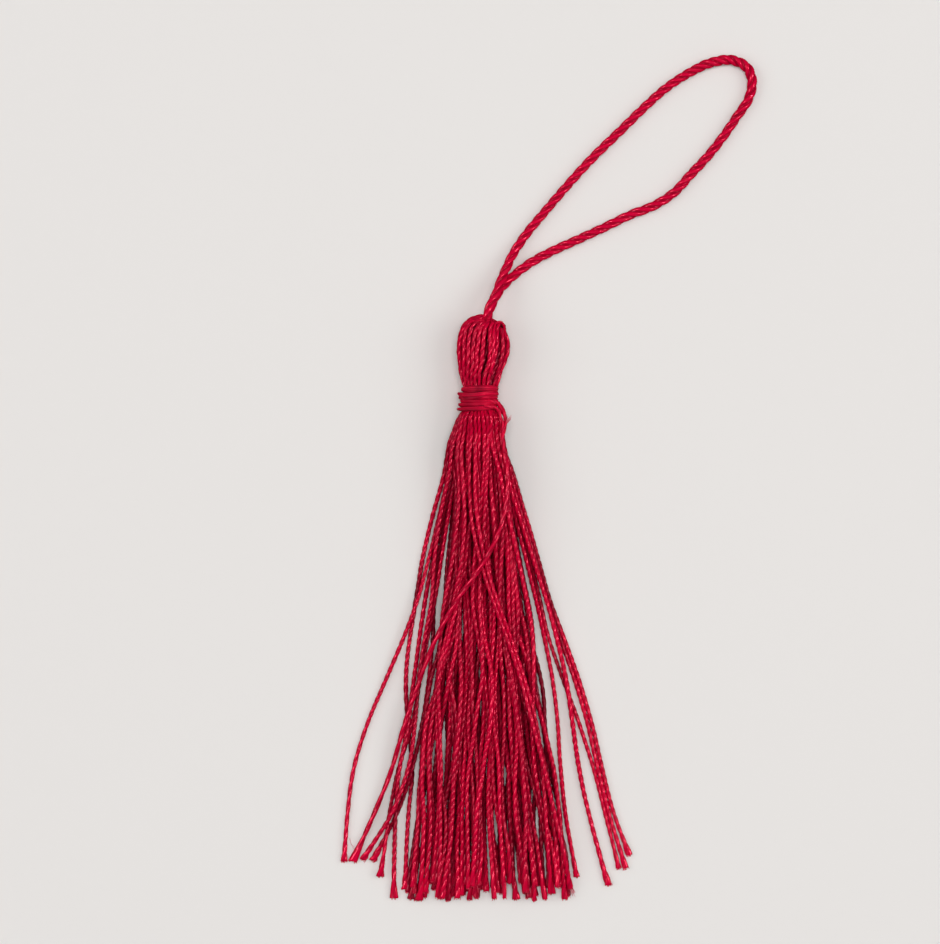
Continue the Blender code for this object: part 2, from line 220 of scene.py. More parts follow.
silk = {
    "deep": (0.09, 0.0002, 0.006, 1),     # the darkest yarns, and the colour that painted shade darkens towards
    "bright": (0.74, 0.0008, 0.042, 1),   # and the brightest
    "paintedGlint": (0.68, 0.06, 0.11, 1),        # painted glint: where single filaments catch the light
    "paintedBacklight": (0.86, 0.35, 0.40, 1),      # painted backlight: loose filaments with the light behind them
    "glintFrom": 0.62,                     # from this much noise up to this much,
    "glintFull": 0.8,                      # a filament gets a painted glint by this share
    "glintShare": 0.55,
    "roughness": 0.18,
    "streaky": 0.12,                      # how much it changes from one filament to the next
    "dullDark": 0.18,                     # how much rougher the darkest yarns are
    "metal": 0.15,                        # the colour of the gleam is the silk's own
    "gleam": (1.0, 0.41, 0.53, 1),
    "cutSpecular": 0.3,                   # of cut ends and loose filaments
    "filaments": (6, 6, 0.5),             # waves a millimetre across a ply and along it
    "slubs": (1.2, 1.2, 0.22),            # slower changes along a yarn
    "slubShare": 0.5,                     # and how much of the lightness they make
    "patches": (4000, 4000, 4000),        # waves a metre in cut ends
    "relief": 0.00001,                    # metres
    "reliefShare": 0.5,
}


def silkFinish(name, specular=0.5, rougher=0.0):
    finish = Finish(name, {"Specular IOR Level": specular, "Specular Tint": silk["gleam"],
                           "Metallic": silk["metal"]})
    fibre = finish.attribute("fibre", 1)
    toneAndShade = finish.attribute("toneAndShade", 2)
    streaks = finish.noise(fibre, silk["filaments"], detail=3.0)
    slubs = finish.noise(fibre, silk["slubs"])
    # lightness: the attribute's random part and its painted shade, with slubs along the yarn
    lightness = toneAndShade + slubs * silk["slubShare"] - silk["slubShare"] / 2
    colour = finish.mix(lightness, silk["deep"], silk["bright"])
    # painted glint: filaments picked out by the noise are painted lighter, as if they caught the
    # light
    glintMask = finish.node("MapRange", {}, {"Value": streaks, "From Min": silk["glintFrom"],
                                         "From Max": silk["glintFull"], "To Max": silk["glintShare"]})
    colour = finish.mix(glintMask, colour, silk["paintedGlint"])
    relief = finish.node("Bump", {}, {"Strength": silk["reliefShare"],
                                      "Distance": silk["relief"], "Height": streaks})
    smoothest = silk["roughness"] + rougher - silk["streaky"] / 2
    roughness = streaks * silk["streaky"] + smoothest
    roughness = roughness + (1 - toneAndShade) * silk["dullDark"]
    return finish.surface(Base_Color=colour, Roughness=roughness, Normal=relief)


def filamentFinish(name, colour, paler):
    # single filaments, each a little different from the next
    finish = Finish(name, {"Specular IOR Level": silk["cutSpecular"],
                           "Roughness": silk["roughness"]})
    where = finish.node("TexCoord", {}, {}, output="Object")
    patches = finish.noise(where, silk["patches"])
    return finish.surface(Base_Color=finish.mix(patches, colour, paler))


bpy.ops.mesh.primitive_plane_add(size=table["size"] * mm)
tableTop = bpy.context.object
tableTop.name = "table_top"
tableFinish = Finish("table", {"Base Color": (*table["colour"], 1),
                               "Roughness": table["roughness"],
                               "Specular IOR Level": table["specular"]})
tableTop.data.materials.append(tableFinish.material)
tableTop.visible_glossy = False            # its white would grey the silk's sides

yarnFinish = silkFinish("silk yarn")
cordFinish = silkFinish("silk cord")
bindingFinish = silkFinish("silk binding", specular=0.3, rougher=0.22)
# cut ends: their own red in patches with painted glints; loose filaments: painted glints in patches
# with painted backlight
endFinish = filamentFinish("cut silk", silk["bright"], silk["paintedGlint"])
hairFinish = filamentFinish("loose silk", silk["paintedGlint"], silk["paintedBacklight"])


# ---- twisted yarn, made straight and bent along a line

yarn = {
    "width": 0.62,
    "plies": 2,
    "groove": 0.26,        # how far in the grooves between the plies go, of the radius
    "crease": 2.6,         # higher for narrower grooves
    "gather": 0.22,        # how far the corners are drawn towards the grooves
    "turn": 2.40,          # length of one full turn of the plies
    "sides": 14,
    "steps": 10,           # rings in each turn
    "flat": 1.0,           # thickness of its width
    "twist": 1.0,
    "shade": 0.40,         # painted shade: how much darker the grooves are
}
cord = {
    **yarn,
    "width": 1.27,
    "plies": 3,
    "groove": 0.42,
    "crease": 3.0,
    "turn": 5.3,
    "sides": 36,
    "steps": 26,
    "shade": 0.55,
    "toneAndShade": 0.95,
    "tight": (49.5, 9.0, 0.36),     # it is twisted more round its far bend: where, over
    "swollen": (53.5, 7.0, 0.11),   # what length and how much; and swells there too
    "step": 0.6,                    # between points along it
    "thickening": (0.03, 9),        # how its width wanders
    "turning": (0.5, 16),           # and its twist, in radians
    "seed": 5,
}


def grooved(kind, turn):
    # from 0 on the back of a ply to 1 in the groove between two
    return (0.5 - 0.5 * np.cos(kind["plies"] * turn)) ** kind["crease"]


def straightRope(name, kind, length):
    # the outline of the plies is drawn once and screwed up along its own axis
    bpy.ops.mesh.primitive_circle_add(vertices=kind["sides"], radius=kind["width"] / 2 * mm)
    rope = bpy.context.object
    rope.name = name
    for corner in rope.data.vertices:
        turn = math.atan2(corner.co.y, corner.co.x)
        turn += kind["gather"] * math.sin(kind["plies"] * turn)
        reach = kind["width"] / 2 * mm * (1 - kind["groove"] * grooved(kind, turn))
        corner.co.x = reach * math.cos(turn)
        corner.co.y = reach * math.sin(turn) * kind["flat"]
    twist = rope.modifiers.new("twist", "SCREW")
    twist.axis = "Z"
    twist.angle = fullTurn * kind["twist"]
    twist.screw_offset = kind["turn"] * mm
    twist.iterations = max(1, round(length / kind["turn"]))
    twist.steps = twist.render_steps = kind["steps"]
    makeActive(rope)
    bpy.ops.object.modifier_apply(modifier="twist")
    bpy.ops.object.mode_set(mode="EDIT")
    bpy.ops.mesh.select_all(action="SELECT")
    bpy.ops.mesh.fill_holes(sides=0)
    bpy.ops.mesh.normals_make_consistent(inside=False)
    bpy.ops.object.mode_set(mode="OBJECT")
    # where each point lies in the yarn before it is twisted, so that its
    # filaments can be drawn along the plies
    points = np.empty(len(rope.data.vertices) * 3)
    rope.data.vertices.foreach_get("co", points)
    points = points.reshape(-1, 3) / mm
    turned = -fullTurn * kind["twist"] * points[:, 2] / kind["turn"]
    fibre = np.stack([points[:, 0] * np.cos(turned) - points[:, 1] * np.sin(turned),
                      points[:, 0] * np.sin(turned) + points[:, 1] * np.cos(turned),
                      points[:, 2]], axis=1)
    layer = rope.data.attributes.new("fibre", "FLOAT_VECTOR", "POINT")
    layer.data.foreach_set("vector", fibre.ravel())
    # and how light it is, with painted shade darker in the grooves
    turn = np.arctan2(fibre[:, 1] / kind["flat"], fibre[:, 0])
    layer = rope.data.attributes.new("toneAndShade", "FLOAT", "POINT")
    layer.data.foreach_set("value", 1 - kind["shade"] * grooved(kind, turn))
    rope.data.shade_smooth()
    return rope


def addStretch(line, points, widths):
    # a run of points in a curve, with the width at each
    spline = line.splines.new("POLY")
    spline.points.add(len(points) - 1)
    places = np.column_stack([np.asarray(points) * mm, np.ones(len(points))])
    spline.points.foreach_set("co", places.ravel())
    spline.points.foreach_set("radius", np.broadcast_to(widths, len(points)).astype(float))
    return spline


def bentRope(rope, points, sizes, tilts, tones, shift=0.0):
    # a copy of a straight rope laid along a line of points; the size, the twist
    # and the tone are single numbers or given for each point
    line = bpy.data.curves.new("line", "CURVE")
    line.dimensions = "3D"
    line.use_stretch = True
    line.use_deform_bounds = True
    line.use_radius = True
    spline = addStretch(line, points, sizes)
    spline.points.foreach_set("tilt", np.broadcast_to(tilts, len(points)).astype(float))
    guide = newObject("guide", line)
    laid = newObject("laid", rope.data.copy())
    bend = laid.modifiers.new("bend", "CURVE")
    bend.object = guide
    bend.deform_axis = "POS_Z"
    makeActive(laid)
    bpy.ops.object.modifier_apply(modifier="bend")
    bpy.data.objects.remove(guide)
    fibre = laid.data.attributes["fibre"].data
    where = np.empty(len(fibre) * 3)
    fibre.foreach_get("vector", where)
    light = laid.data.attributes["toneAndShade"].data
    grooves = np.empty(len(light))
    light.foreach_get("value", grooves)
    # the lightness given along the line, times the painted shade of the grooves
    along = np.interp(where[2::3] / where[2::3].max(), np.linspace(0, 1, len(points)),
                      np.broadcast_to(tones, len(points)))
    light.foreach_set("value", along * grooves)
    where[2::3] += shift
    fibre.foreach_set("vector", where)
    return laid


def joined(name, pieces, finish, node):
    # several laid ropes as one finished piece of the tassel
    makeActive(*pieces)
    if len(pieces) > 1:
        bpy.ops.object.join()
    piece = bpy.context.object
    piece.name = name
    piece.data.name = name
    piece.data.materials.clear()
    piece.data.materials.append(finish)
    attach(piece, "root")
    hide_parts(node)
    return piece


# ---- the hanging cord

cordRoute = (
    # x,     y,     z
    (-0.05, 39.60, 3.80),
    (0.22, 40.60, 3.80),
    (0.58, 41.60, 3.62),
    (1.28, 42.94, 3.20),
    (1.85, 44.55, 2.58),
    (2.53, 46.20, 1.86),
    (3.73, 48.75, 1.02),
    (5.42, 51.30, 0.66),
    (7.63, 53.97, 0.63),
    (10.73, 57.60, 0.63),
    (14.33, 61.57, 0.63),
    (18.35, 65.50, 0.63),
    (21.61, 68.68, 0.63),
    (24.75, 71.46, 0.63),
    (27.86, 73.48, 0.63),
    (30.83, 74.84, 0.63),
    (33.79, 75.16, 0.63),
    (35.76, 74.10, 0.63),
    (36.40, 72.39, 0.63),
    (36.03, 70.12, 0.63),
    (34.35, 67.47, 0.63),
    (32.18, 64.34, 0.63),
    (30.13, 61.77, 0.63),
    (27.97, 59.48, 0.63),
    (25.82, 57.13, 0.63),
    (22.87, 55.20, 0.63),
    (19.83, 54.03, 0.63),
    (16.20, 52.28, 0.63),
    (12.18, 50.44, 0.63),
    (8.82, 48.91, 0.63),
    (6.20, 47.50, 0.63),
    (4.20, 46.05, 0.74),
    (2.75, 44.70, 1.12),
    (1.80, 43.55, 1.62),
    (0.90, 41.90, 2.20),
    (0.37, 40.65, 2.45),
    (0.10, 39.60, 2.60),
)

print("twisting the hanging cord")
cordPoints = evenPoints(cordRoute, cord["step"])
cordLength = float(np.linalg.norm(np.diff(cordPoints, axis=0), axis=1).sum())
straightCord = straightRope("straight cord", cord, cordLength)
rng = np.random.default_rng(cord["seed"])
along = np.linspace(0, cordLength, len(cordPoints))
tight, swollen = (share * np.exp(-((along - middle) / reach) ** 2)
                  for middle, reach, share in (cord["tight"], cord["swollen"]))
cordSizes = 1 + swollen + wandering(rng, len(cordPoints), *cord["thickening"])
cordTilts = wandering(rng, len(cordPoints), *cord["turning"])
cordTilts += np.cumsum(tight) * along[1] * fullTurn / cord["turn"]
cordPoints[:, 2] = np.maximum(cordPoints[:, 2], cordSizes * cord["width"] / 2)
laidCord = bentRope(straightCord, cordPoints, cordSizes, cordTilts, cord["toneAndShade"])
hangingCord = joined("hanging_cord_plied", [laidCord], cordFinish, "hanging_cord")


# ---- the skirt: how its strands lie

skirt = {
    "seed": 9,             # of the small differences between strands
    "strands": 92,
    "rootPitch": 0.53,     # yarns squeezed together at the roots
    "pitch": 0.62,         # and lying side by side in the fan
    "rootX": -0.9,
    "rootZ": 2.75,
    "rootY": 23.4,
    "rootWide": 3.7,       # half sizes of the bundle there
    "rootHigh": 2.15,
    "gridX": 0.13,         # shift of that oval against the grid of yarns in it
    "gridZ": 0.05,
    "gridReach": 9,
    "firstY": 23.8,
    "lastY": -40.7,
    "spreadY": 10.0,       # length over which the pitch opens up
    "tipLow": -40.13,
    "tipRagged": 2.9,      # how far short of that the shortest ends
    "fan": (-10.4, 11.4),  # where the outermost tips lie
    "fanPower": 0.95,      # how early the fan opens
    "mixing": 1.5,         # how far strands change places across it
    "mixedCore": 0.3,      # share of that for those in the middle of the neck
    "tipJitter": 0.4,
    "sways": (1.5, 0.9),   # wandering in about one wave and two
    "firstWave": 0.9,      # waves along the strand in the first of them
    "bundling": 0.6,       # how far neighbours draw together towards the tips
    "bundles": 5.3,        # and how many such bundles there are across the fan
    "tieBreak": 0.001,     # so that of any two strands one is meant to lie higher
}
settling = {
    "rings": 13,           # points along a strand, closer together near the neck
    "crowding": 1.2,       # how much closer
    "checks": 6,           # places along each length where strands are kept apart
    "pastTip": 1.0,        # they are kept apart this far past their tips
    "rounds": 600,
    "fallY": 30.0,         # length over which the pile comes down off the neck
    "pile": 1.7,           # half its height before it settles
    "gravity": 0.035,      # how far a strand falls in the first round
    "pull": 0.25,          # how much of the way home it is pulled
    "layering": 0.18,      # a strand from higher in the neck tends to lie on top
    "stiffness": 0.3,      # how much of a bend it takes out
    "spacing": 1.6,        # how briskly strands that are too close move apart
}
shares = np.linspace(0, 1, 9)
strays = (
    # name, x at each share of its length, tipY, height, over: how high it leaves the neck
    # (-1 underside to 1 top) and how far above the rest it starts before it settles
    ("far_left", (-4.3, -5.7, -7.4, -9.2, -11.9, -15.1, -17.85, -19.0, -19.5), -34.65, 0.1, 0.0),
    ("left_2", (-4.55, -6.5, -8.5, -9.95, -10.95, -10.95, -10.4, -10.9, -11.25), -38.5, -0.3, -0.3),
    ("left_3", (-4.0, -5.3, -7.2, -8.65, -9.65, -10.65, -12.4, -12.6, -12.6), -39.7, 0.0, 0.0),
    ("left_4", (-3.8, -5.5, -6.9, -7.4, -8.65, -9.55, -10.25, -12.55, -17.0), -34.35, 0.4, 0.3),
    ("left_5", (-3.6, -4.9, -6.4, -7.2, -7.55, -8.4, -9.55, -12.0, -15.65), -34.55, -0.5, 0.0),
    ("left_6", (-3.3, -4.7, -5.9, -7.2, -8.6, -9.95, -11.8, -13.05, -14.45), -36.7, 0.0, 0.0),
    ("cross_left", (2.8, 2.7, 1.0, -3.65, -7.5, -10.05, -12.15, -15.1, -18.45), -34.65, 0.5, 1.5),
    ("cross_right", (-2.2, -2.3, -1.1, 1.3, 3.95, 6.2, 8.15, 9.85, 11.45), -38.3, 0.9, 1.0),
    ("beside_it", (-1.5, -1.5, -0.3, 2.0, 4.7, 6.7, 7.9, 8.5, 8.9), -39.0, 0.8, 0.6),
    ("right_1", (2.8, 4.2, 6.55, 8.5, 11.1, 13.5, 15.4, 16.9, 19.5), -33.8, 0.0, 0.0),
    ("right_2", (2.7, 3.65, 6.05, 8.15, 10.75, 13.2, 15.1, 16.9, 19.05), -35.6, 0.35, 0.2),
    ("right_3", (2.5, 3.2, 5.4, 7.35, 9.1, 11.85, 14.45, 16.45, 18.25), -35.6, -0.3, 0.0),
    ("right_4", (2.3, 3.35, 5.85, 8.45, 10.4, 11.75, 12.9, 14.6, 16.8), -37.9, 0.5, 0.4),
    ("right_5", (2.1, 2.95, 5.0, 6.9, 8.4, 9.6, 10.15, 10.9, 12.4), -36.8, 0.2, 0.2),
)


def rootSlots():
    # places of the yarns where they part: a close-packed grid inside an oval
    reach = range(-skirt["gridReach"], skirt["gridReach"] + 1)
    slots = []
    for row in reach:
        for column in reach:
            x = (column + 0.5 * (row % 2)) * skirt["rootPitch"]
            z = row * skirt["rootPitch"] * math.sqrt(3) / 2
            oval = math.hypot((x - skirt["gridX"]) / skirt["rootWide"],
                              (z - skirt["gridZ"]) / skirt["rootHigh"])
            slots.append((round(oval, 6), skirt["rootX"] + x, skirt["rootZ"] + z))
    slots.sort()
    return np.array([(x, z) for _, x, z in slots[:skirt["strands"]]])


def strandTargets(ys):
    # where each strand would lie if it were alone: x in each ring, tip and height
    rng = np.random.default_rng(skirt["seed"])
    slots = rootSlots()
    count = skirt["strands"]
    x = np.zeros((count, len(ys)))
    tipY = np.zeros(count)
    height = (slots[:, 1] - skirt["rootZ"]) / skirt["rootHigh"]
    free = list(range(count))
    named = {}
    for name, places, tip, rootHeight, over in strays:
        wanted = (places[0], skirt["rootZ"] + rootHeight * skirt["rootHigh"])
        strand = min(free, key=lambda s: math.dist(slots[s], wanted))
        free.remove(strand)
        named[name] = strand
        share = (skirt["rootY"] - ys) / (skirt["rootY"] - tip)
        x[strand] = smoothThrough(shares, (slots[strand, 0],) + places[1:], share)
        tipSlope = (places[-1] - places[-2]) / (shares[-1] - shares[-2])
        x[strand] += np.maximum(share - 1, 0) * tipSlope
        tipY[strand] = tip
        height[strand] += over

    mixing = skirt["mixing"] * (skirt["mixedCore"] + np.abs(height[free]))
    order = slots[free, 0] + rng.uniform(-1, 1, len(free)) * mixing
    rank = np.argsort(np.argsort(order))
    low, high = skirt["fan"]
    for place, strand in zip(rank, free):
        across = (place + 0.5) / len(free)
        tipX = low + (high - low) * across + skirt["tipJitter"] * rng.uniform(-1, 1)
        tipY[strand] = skirt["tipLow"] + skirt["tipRagged"] * rng.uniform(0, 1)
        share = np.clip((skirt["rootY"] - ys) / (skirt["rootY"] - tipY[strand]), 0, 1)
        fan = 1 - (1 - share) ** skirt["fanPower"]
        waves = range(len(skirt["sways"]))
        sway = rng.uniform(-1, 1, len(waves)) * skirt["sways"]
        start = rng.uniform(0, fullTurn, len(waves))
        bundle = np.sin(fullTurn * (skirt["bundles"] * across + share / 2))
        wave = sum(sway[n] * np.sin(fullTurn * (skirt["firstWave"] + n) * share + start[n])
                   for n in waves)
        x[strand] = slots[strand, 0] + (tipX - slots[strand, 0]) * fan
        x[strand] += skirt["bundling"] * share * bundle + 4 * share * (1 - share) * wave
    height += skirt["tieBreak"] * np.arange(count)
    return slots, x, tipY, height, named


def bend(lines):
    # how far each point lies from the middle of its neighbours
    return 0.5 * (lines[:, :-2] + lines[:, 2:]) - lines[:, 1:-1]


def settleStrands():
    # lets the strands down on the table and on each other
    rings, checks = settling["rings"], settling["checks"]
    share = (np.arange(rings) / (rings - 1)) ** settling["crowding"]
    ys = skirt["firstY"] + (skirt["lastY"] - skirt["firstY"]) * share
    slots, target, tipY, height, named = strandTargets(ys)

    between = np.arange((rings - 1) * checks + 1) / checks
    weight = np.maximum(0, 1 - np.abs(between[None, :] - np.arange(rings)[:, None]))
    back = weight.T / weight.sum(1)
    fineYs = ys @ weight

    raised = (1 - np.clip((skirt["rootY"] - ys) / settling["fallY"], 0, 1)) ** 2
    floor = yarn["width"] / 2
    x = target.copy()
    z = slots[:, 1:] * raised
    z = z + (floor + (height[:, None] + 1) * settling["pile"]) * (1 - raised)
    above = settling["layering"] * np.sign(height[:, None, None] - height[None, :, None])
    opened = np.clip((skirt["rootY"] - fineYs) / skirt["spreadY"], 0, 1)
    pitch = skirt["rootPitch"] + (skirt["pitch"] - skirt["rootPitch"]) * opened
    there = fineYs[None, :] >= tipY[:, None] - settling["pastTip"]
    notItself = ~np.eye(len(tipY), dtype=bool)[:, :, None]
    pair = there[:, None, :] & there[None, :, :] & notItself
    for turn in range(settling["rounds"]):
        lively = (1 - turn / settling["rounds"]) ** 2      # the pulls fade, the spacing wins
        z -= settling["gravity"] * lively
        x += settling["pull"] * lively * (target - x)
        x[:, 1:-1] += settling["stiffness"] * lively * bend(x - target)
        z[:, 1:-1] += settling["stiffness"] * lively * bend(z)
        fineX, fineZ = x @ weight, z @ weight
        dx = fineX[:, None, :] - fineX[None, :, :]
        dz = fineZ[:, None, :] - fineZ[None, :, :]
        apart = np.sqrt(dx * dx + dz * dz) + 1e-9
        push = np.where(pair & (apart < pitch), 0.5 * (pitch - apart) / apart, 0.0)
        crowd = np.sqrt(np.maximum((push > 0).sum(1), 1))
        x += settling["spacing"] * ((push * dx).sum(1) / crowd) @ back
        z += settling["spacing"] * ((push * (dz + above)).sum(1) / crowd) @ back
        z = np.maximum(np.round(z, 5), floor)     # rounded, so that small errors
        x = np.round(x, 5)                        # can't grow into another layout
        x[:, 0], z[:, 0] = slots[:, 0], slots[:, 1]
    return ys, x, z, tipY, named


# ---- the skirt: its yarns

neck = {
    "x": -0.9,
    "z": 3.0,
    "low": 27.3,           # where the skirt's yarns are drawn in under the binding
    "top": 28.7,
    "mouth": 26.7,         # just below the binding, where they start to part
    "parting": 1.25,       # how much wider the bundle is there
    "radius": 1.95,
    "pitch": 0.40,         # how close the yarns are pressed together
    "push": 0.3,           # share of an overlap that a round takes out
    "rounds": 150,
    "squeeze": 0.76,       # yarn's width there, of its full width
    "swelling": 6.0,       # length over which it gets its full width back
}
strandLook = {
    "seed": 8,
    "step": 0.8,           # between points along a strand
    "lastLength": 1.5,     # no settled point is nearer to the tip than this
    "loosening": 8.0,      # length below the neck over which it starts to wander
    "straying": (0.34, 12),    # how it wanders sideways
    "kinks": (0.08, 4),        # and has small kinks
    "steady": 0.3,         # share of both in strands with a place of their own
    "turning": (2.2, 8),       # how the twist wanders, in radians
    "thickening": (0.06, 7),   # and the width
    "sizes": (0.92, 1.10),
    "flare": (0.10, 0.75), # how much wider a cut end spreads
    "steadyFlare": 0.4,    # and how much more in those with a place of their own
    "sink": 0.35,          # and how much flatter it lies
    "brush": 3.5,          # length over which it spreads
    "opening": 6.0,        # length over which its twist opens
    "untwist": 0.55,       # share of the twist that is lost at the end
    # the left and right sides lean this far, most at this height, over this length
    "shoulder": (-0.85, -0.45, 22.2, 3.1),
    "smooth": "cross_left",   # this one is thicker and hardly twisted: its width, how
    "smoothing": (1.12, 1.4, 0.6),   # much its end flares, and share of the twist lost
    "open": "far_left",       # and this one's twist opens halfway down: below this
    "opened": (-15.0, 0.46),         # height, by this share
    "cover": 0.6,          # strands this near, and higher, give it painted shade
    "ownTone": 0.30,       # how much a strand's lightness is its own, at random; the rest is painted shade from how low it lies in the pile
    "paleEnd": (9.0, 0.22),   # length over which it gets lighter towards its end, and how much
    "streakRun": 500,      # the finish starts anywhere in this, so that no two look alike
}
yarnTwist = fullTurn / yarn["turn"]        # radians a millimetre


def neckPlaces(slots):
    # the oval squeezed into the round neck, with its yarns pushed evenly apart
    middle = np.array([skirt["rootX"], skirt["rootZ"]])
    places = (slots - middle) / (skirt["rootWide"], skirt["rootHigh"]) * neck["radius"]
    for turn in range(neck["rounds"]):
        between = places[:, None, :] - places[None, :, :]
        apart = np.linalg.norm(between, axis=2) + 2 * neck["pitch"] * np.eye(len(places))
        push = neck["push"] * np.clip(neck["pitch"] - apart, 0, None) / apart
        places = places + (push[:, :, None] * between).sum(1)
        out = np.linalg.norm(places, axis=1, keepdims=True)
        places = places * np.minimum(1, neck["radius"] / np.maximum(out, 1e-9))
    return places + (neck["x"], neck["z"])


def strandLine(ys, xs, zs, tipY, place):
    # from under the binding down to the tip
    keep = ys > tipY + strandLook["lastLength"]
    keyY = np.concatenate(([neck["top"], neck["low"], neck["mouth"]], ys[keep], [tipY]))
    y = np.linspace(neck["top"], tipY, round((neck["top"] - tipY) / strandLook["step"]) + 1)
    sides = []
    for start, middle, settled in ((place[0], neck["x"], xs), (place[1], neck["z"], zs)):
        mouth = middle + neck["parting"] * (start - middle)
        tip = np.interp(-tipY, -ys, settled)
        keys = np.concatenate(([start, start, mouth], settled[keep], [tip]))
        sides.append(smoothThrough(-keyY, keys, -y))
    return np.stack([sides[0], y, sides[1]], axis=1)


def nearEnd(y, tipY, reach):
    # 1 at a strand's cut end, falling to 0 at the given distance from it
    return np.clip(1 - (y - tipY) / reach, 0, 1) ** 2


def spreadEnd(laid, points, flare):
    # widens a strand's cut end and lets it sink flat
    corners = laid.data.vertices
    where = np.empty(len(corners) * 3)
    corners.foreach_get("co", where)
    where = where.reshape(-1, 3)
    share = nearEnd(where[:, 1] / mm, points[-1, 1], strandLook["brush"])
    for axis, change in ((0, flare), (2, -strandLook["sink"])):
        middle = np.interp(-where[:, 1] / mm, -points[:, 1], points[:, axis]) * mm
        where[:, axis] = middle + (where[:, axis] - middle) * (1 + change * share)
    corners.foreach_set("co", where.ravel())


print("letting the strands settle")
ringYs, ringXs, ringZs, tipYs, named = settleStrands()
places = neckPlaces(np.stack([ringXs[:, 0], ringZs[:, 0]], axis=1))
# painted shade: a strand lower than its near neighbours in the pile is drawn darker
near = np.abs(ringXs[:, None, :] - ringXs[None, :, :]) < strandLook["cover"]
pileTops = np.where(near, ringZs[None, :, :], 0).max(axis=1)
paintedPileLight = (ringZs / pileTops) ** 2

print("laying the skirt's yarns")
longYarn = straightRope("long yarn", yarn, neck["top"] - skirt["tipLow"])
rng = np.random.default_rng(strandLook["seed"])
leanLeft, leanRight, leanY, leanReach = strandLook["shoulder"]
paleReach, paler = strandLook["paleEnd"]
tips = []
laidStrands = []
for strand in range(skirt["strands"]):
    points = strandLine(ringYs, ringXs[strand], ringZs[strand], tipYs[strand], places[strand])
    below = neck["low"] - points[:, 1]
    loose = np.clip(below / strandLook["loosening"], 0, 1)
    if strand in named.values():
        loose = loose * strandLook["steady"]
    for sideways in ("straying", "kinks"):
        points[:, 0] += loose * wandering(rng, len(points), *strandLook[sideways])
    outwards = (places[strand, 0] - neck["x"]) / neck["radius"]
    lean = (leanLeft if outwards < 0 else leanRight) * outwards ** 2
    points[:, 0] += lean * np.exp(-((points[:, 1] - leanY) / leanReach) ** 2)
    squeeze = neck["squeeze"] + (1 - neck["squeeze"]) * np.clip(below / neck["swelling"], 0, 1)
    sizes = rng.uniform(*strandLook["sizes"]) * squeeze
    sizes = sizes * (1 + wandering(rng, len(points), *strandLook["thickening"]))
    flare = rng.uniform(*strandLook["flare"])
    if strand in named.values():
        flare += strandLook["steadyFlare"]
    turning = wandering(rng, len(points), *strandLook["turning"])
    lost = nearEnd(points[:, 1], tipYs[strand], strandLook["opening"]) * strandLook["opening"] / 2
    tilts = rng.uniform(0, fullTurn) + turning - yarnTwist * strandLook["untwist"] * lost
    # the painted shade of the pile, mixed with a random lightness of the strand's own
    top = np.interp(-points[:, 1], -ringYs, paintedPileLight[strand])
    tones = strandLook["ownTone"] * rng.uniform(0, 1) + (1 - strandLook["ownTone"]) * top
    tones = np.minimum(tones + paler * nearEnd(points[:, 1], tipYs[strand], paleReach), 1)
    if strand == named[strandLook["smooth"]]:
        thicker, flare, untwisted = strandLook["smoothing"]
        sizes = sizes * thicker
        tilts = tilts - untwisted * yarnTwist * (points[0, 1] - points[:, 1])
    if strand == named[strandLook["open"]]:
        openY, untwisted = strandLook["opened"]
        tilts = turning - untwisted * yarnTwist * np.clip(openY - points[:, 1], 0, None)
    points[:, 2] = np.maximum(points[:, 2], sizes * yarn["width"] / 2)
    shift = rng.uniform(0, strandLook["streakRun"])
    laid = bentRope(longYarn, points, sizes, tilts, tones, shift)
    spreadEnd(laid, points, flare)
    laidStrands.append(laid)
    tips.append((points[-1], points[-1] - points[-3], sizes[-1] * yarn["width"] / 2, flare))

leftToRight = np.argsort([tip[0][0] for tip in tips])
quarters = np.array_split(leftToRight, 4)
for name, quarter in zip(("far_left", "left", "right", "far_right"), quarters):
    joined("skirt_" + name, [laidStrands[s] for s in quarter], yarnFinish, "tassel_yarns")


# ---- the head: yarns folded over the cord

